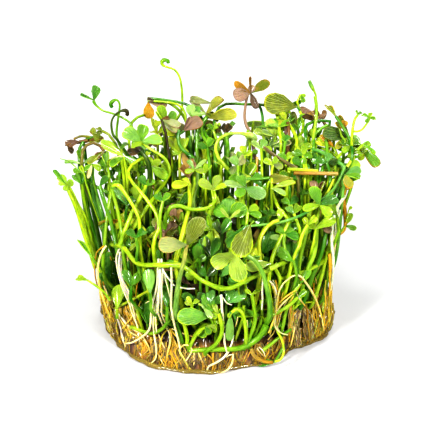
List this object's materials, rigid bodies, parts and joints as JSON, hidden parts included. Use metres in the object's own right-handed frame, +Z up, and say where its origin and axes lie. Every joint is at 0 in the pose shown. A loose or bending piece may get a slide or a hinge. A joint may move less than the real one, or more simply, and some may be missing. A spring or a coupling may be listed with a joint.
{
  "type": "water clover plant clump",
  "caption": "Cup-grown clump of water clover: a round mat of roots carrying creeping runners, a thicket of small fronds and tall four-leaflet fronds; stands on its flat underside.",
  "frame": {"origin": "centre of the root mat's flat underside", "axes": "+Z up along the stems, -Y towards the side with the open lime-green clover leaf, +X to the right seen from that side"},
  "size_m": [0.0811, 0.0737, 0.0598],
  "materials": {
    "root_mat": "matted brown, tan and white roots, wet",
    "small_fronds": "many small green leaves and stems, wet gloss",
    "lime_stem": "bright yellow-green stem, satin, slightly translucent",
    "green_stem": "fresh green stem, satin, slightly translucent",
    "dark_stem": "dark green stem, satin",
    "brown_stem": "dull brown stem",
    "green_leaf": "green leaf with fine fan veins, satin",
    "lime_leaf": "yellow-green leaf with fine fan veins, satin",
    "olive_leaf": "olive leaf with fine fan veins, satin",
    "brown_leaf": "browned leaf, dull",
    "orange_leaf": "orange turning leaf, satin",
    "white_root": "cream white root, wet",
    "amber_root": "amber root, wet, slightly translucent"
  },
  "bodies": {
    "root": {"root_mat": "root_mat", "inner_fronds": "small_fronds", "runner_front": "lime_stem", "runner_right": "lime_stem", "runner_back": "lime_stem", "hanging_root_01": "white_root", "hanging_root_02": "white_root", "hanging_root_03": "white_root", "hanging_root_04": "amber_root", "hanging_root_05": "amber_root", "stalk_01": "green_stem", "stalk_02": "dark_stem", "stalk_03": "dark_stem", "stalk_04": "lime_stem", "stalk_05": "green_stem", "stalk_06": "dark_stem", "stalk_07": "dark_stem", "stalk_08": "brown_stem", "stalk_09": "green_stem", "stalk_10": "green_stem", "stalk_11": "lime_stem", "stalk_12": "green_stem", "stalk_13": "green_stem", "stalk_14": "green_stem", "stalk_15": "green_stem", "stalk_16": "lime_stem", "stalk_17": "lime_stem", "stalk_18": "green_stem", "stalk_19": "green_stem", "stalk_20": "green_stem", "stalk_21": "green_stem", "leaf_01": "green_leaf", "leaf_02": "olive_leaf", "leaf_03": "brown_leaf", "leaf_04": "lime_leaf", "leaf_05": "orange_leaf", "leaf_06": "brown_leaf", "leaf_07": "olive_leaf", "leaf_08": "brown_leaf", "leaf_09": "olive_leaf", "leaf_10": "olive_leaf", "leaf_11": "green_leaf", "leaf_12": "green_leaf", "leaf_13": "green_leaf", "leaf_14": "olive_leaf", "leaf_15": "lime_leaf", "leaf_16": "lime_leaf", "leaf_17": "lime_leaf", "leaf_18": "lime_leaf", "leaf_19": "green_leaf", "leaf_20": "green_leaf", "leaf_21": "green_leaf", "young_frond_01": "lime_stem", "young_frond_02": "green_stem", "young_frond_03": "green_stem", "young_frond_04": "green_stem", "young_frond_05": "brown_stem", "young_frond_06": "brown_stem", "young_frond_07": "lime_stem", "young_frond_08": "lime_stem"}
  },
  "joints": []
}
